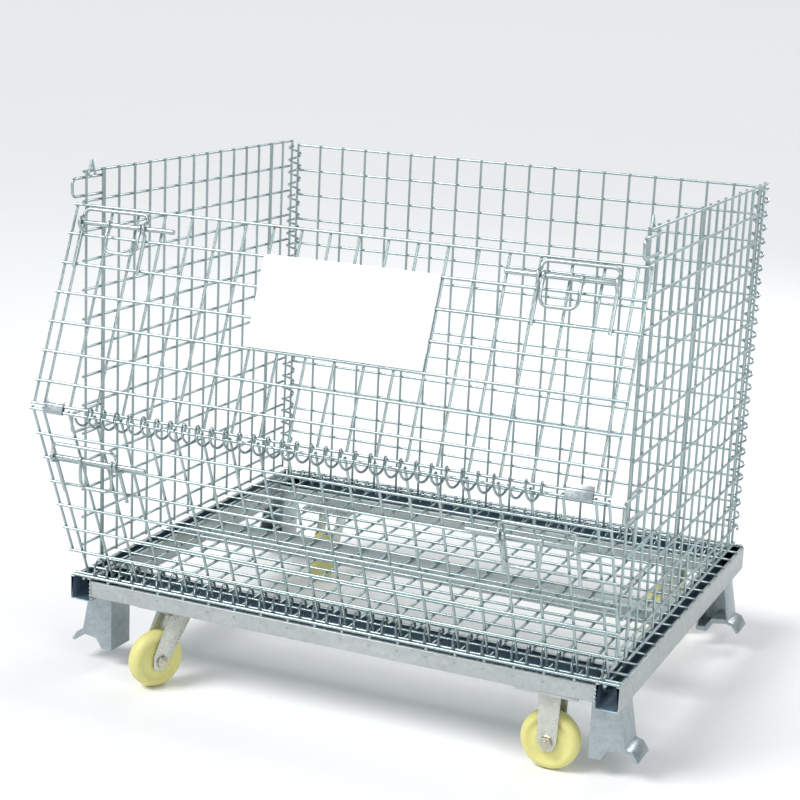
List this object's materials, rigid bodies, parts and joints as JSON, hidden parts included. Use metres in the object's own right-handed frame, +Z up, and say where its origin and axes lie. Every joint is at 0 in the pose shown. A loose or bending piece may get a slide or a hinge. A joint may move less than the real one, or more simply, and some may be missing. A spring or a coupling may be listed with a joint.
{
  "type": "wire mesh container",
  "caption": "Collapsible wire mesh container on casters, with a two-piece drop gate in front, spiral wire hinges, sliding bolts and a blank sign plate.",
  "frame": {"origin": "centre of the base, on the floor that the wheels stand on", "axes": "+X to the right as seen from the gate, +Y to the back panel, +Z up"},
  "size_m": [1.052, 0.9376, 0.8982],
  "materials": {
    "axle_steel": "yellowish zinc",
    "bearing_steel": "dark steel",
    "caster_zinc": "yellowish zinc",
    "galvanised_leg": "galvanised, satin",
    "galvanised_rail": "galvanised, satin",
    "nylon_wheel": "pale yellow nylon",
    "red_ring": "red, semi-gloss",
    "white_sign": "white, satin",
    "zinc_bolt": "bright zinc",
    "zinc_gate": "bright zinc",
    "zinc_latch": "bright zinc",
    "zinc_mesh": "bright zinc",
    "zinc_spiral": "bright zinc"
  },
  "bodies": {
    "base": {"side_rail_left": "galvanised_rail", "side_rail_right": "galvanised_rail", "front_rail": "galvanised_rail", "rear_rail": "galvanised_rail", "floor_stiffener": "galvanised_rail", "floor_mesh": "zinc_mesh", "leg_front_left": "galvanised_leg", "leg_front_right": "galvanised_leg", "leg_rear_left": "galvanised_leg", "leg_rear_right": "galvanised_leg", "back_panel": "zinc_mesh", "back_hinge_coil": "zinc_spiral", "corner_coil_left": "zinc_spiral", "corner_coil_right": "zinc_spiral", "gate_hinge_coil": "zinc_spiral", "swivel_plate_front": "caster_zinc", "fixed_plate_front": "caster_zinc", "fixed_fork_front": "caster_zinc", "fixed_axle_front": "axle_steel", "swivel_plate_rear": "caster_zinc", "fixed_plate_rear": "caster_zinc", "fixed_fork_rear": "caster_zinc", "fixed_axle_rear": "axle_steel"},
    "left_side": {"side_panel_left": "zinc_mesh", "latch_loops_left": "zinc_latch"},
    "right_side": {"side_panel_right": "zinc_mesh", "latch_loops_right": "zinc_latch"},
    "lower_gate": {"lower_gate_mesh": "zinc_gate", "middle_hinge_coil": "zinc_spiral", "latch_bracket_lower_left": "zinc_latch", "latch_bracket_lower_right": "zinc_latch"},
    "upper_gate": {"upper_gate_mesh": "zinc_gate", "hinge_clip_left": "zinc_latch", "hinge_clip_right": "zinc_latch", "sign_plate": "white_sign", "latch_bracket_upper_left": "zinc_latch", "latch_bracket_upper_right": "zinc_latch"},
    "bolt_upper_left": {"latch_bolt_upper_left": "zinc_bolt"},
    "grip_upper_left": {"latch_grip_upper_left": "zinc_bolt"},
    "bolt_upper_right": {"latch_bolt_upper_right": "zinc_bolt"},
    "grip_upper_right": {"latch_grip_upper_right": "zinc_bolt"},
    "bolt_lower_left": {"latch_bolt_lower_left": "zinc_bolt"},
    "grip_lower_left": {"latch_grip_lower_left": "zinc_bolt"},
    "bolt_lower_right": {"latch_bolt_lower_right": "zinc_bolt"},
    "grip_lower_right": {"latch_grip_lower_right": "zinc_bolt"},
    "swivel_front": {"swivel_fork_front": "caster_zinc", "dust_ring_front": "red_ring", "swivel_axle_front": "axle_steel"},
    "swivel_wheel_front": {"swivel_wheel_front": "nylon_wheel", "swivel_bearing_front": "bearing_steel"},
    "fixed_wheel_front": {"fixed_wheel_front": "nylon_wheel", "fixed_bearing_front": "bearing_steel"},
    "swivel_rear": {"swivel_fork_rear": "caster_zinc", "dust_ring_rear": "red_ring", "swivel_axle_rear": "axle_steel"},
    "swivel_wheel_rear": {"swivel_wheel_rear": "nylon_wheel", "swivel_bearing_rear": "bearing_steel"},
    "fixed_wheel_rear": {"fixed_wheel_rear": "nylon_wheel", "fixed_bearing_rear": "bearing_steel"}
  },
  "joints": [
    {"name": "lower_gate_hinge", "type": "hinge", "parent": "base", "child": "lower_gate", "pos_m": [0, -0.387, 0.1778], "axis": [1, 0, 0], "range_deg": [0, 60]},
    {"name": "upper_gate_hinge", "type": "hinge", "parent": "lower_gate", "child": "upper_gate", "pos_m": [0, -0.52094, 0.50116], "axis": [1, 0, 0], "range_deg": [0, 185], "deforming": ["middle_hinge_coil"]},
    {"name": "left_side_fold", "type": "hinge", "parent": "base", "child": "left_side", "pos_m": [-0.484, 0.36, 0.5], "axis": [0, 0, 1], "range_deg": [0, 85]},
    {"name": "right_side_fold", "type": "hinge", "parent": "base", "child": "right_side", "pos_m": [0.484, 0.36, 0.5], "axis": [0, 0, -1], "range_deg": [0, 90]},
    {"name": "bolt_slide_upper_left", "type": "slide", "parent": "upper_gate", "child": "bolt_upper_left", "axis": [-1, 0, 0], "range_m": [0, 0.046]},
    {"name": "grip_swing_upper_left", "type": "hinge", "parent": "bolt_upper_left", "child": "grip_upper_left", "pos_m": [-0.41, -0.41188, 0.79895], "axis": [-1, 0, 0], "range_deg": [0, 120]},
    {"name": "bolt_slide_upper_right", "type": "slide", "parent": "upper_gate", "child": "bolt_upper_right", "axis": [1, 0, 0], "range_m": [0, 0.046]},
    {"name": "grip_swing_upper_right", "type": "hinge", "parent": "bolt_upper_right", "child": "grip_upper_right", "pos_m": [0.392, -0.41188, 0.79895], "axis": [-1, 0, 0], "range_deg": [0, 120]},
    {"name": "bolt_slide_lower_left", "type": "slide", "parent": "lower_gate", "child": "bolt_lower_left", "axis": [-1, 0, 0], "range_m": [0, 0.046]},
    {"name": "grip_swing_lower_left", "type": "hinge", "parent": "bolt_lower_left", "child": "grip_lower_left", "pos_m": [-0.407, -0.49634, 0.41826], "axis": [-1, 0, 0], "range_deg": [-20, 65]},
    {"name": "bolt_slide_lower_right", "type": "slide", "parent": "lower_gate", "child": "bolt_lower_right", "axis": [1, 0, 0], "range_m": [0, 0.046]},
    {"name": "grip_swing_lower_right", "type": "hinge", "parent": "bolt_lower_right", "child": "grip_lower_right", "pos_m": [0.384, -0.49634, 0.41826], "axis": [-1, 0, 0], "range_deg": [-20, 65]},
    {"name": "swivel_turn_front", "type": "hinge", "parent": "base", "child": "swivel_front", "pos_m": [-0.316, -0.35, 0.13], "axis": [0, 0, 1], "continuous": true},
    {"name": "swivel_roll_front", "type": "hinge", "parent": "swivel_front", "child": "swivel_wheel_front", "pos_m": [-0.33461, -0.38653, 0.05], "axis": [-0.891, 0.454, 0], "continuous": true},
    {"name": "fixed_roll_front", "type": "hinge", "parent": "base", "child": "fixed_wheel_front", "pos_m": [0.381, -0.358, 0.05], "axis": [0, 1, 0], "continuous": true},
    {"name": "swivel_turn_rear", "type": "hinge", "parent": "base", "child": "swivel_rear", "pos_m": [-0.335, 0.31, 0.13], "axis": [0, 0, 1], "continuous": true},
    {"name": "swivel_roll_rear", "type": "hinge", "parent": "swivel_rear", "child": "swivel_wheel_rear", "pos_m": [-0.335, 0.269, 0.05], "axis": [-1, 0, 0], "continuous": true},
    {"name": "fixed_roll_rear", "type": "hinge", "parent": "base", "child": "fixed_wheel_rear", "pos_m": [0.378, 0.35, 0.05], "axis": [0, 1, 0], "continuous": true}
  ]
}
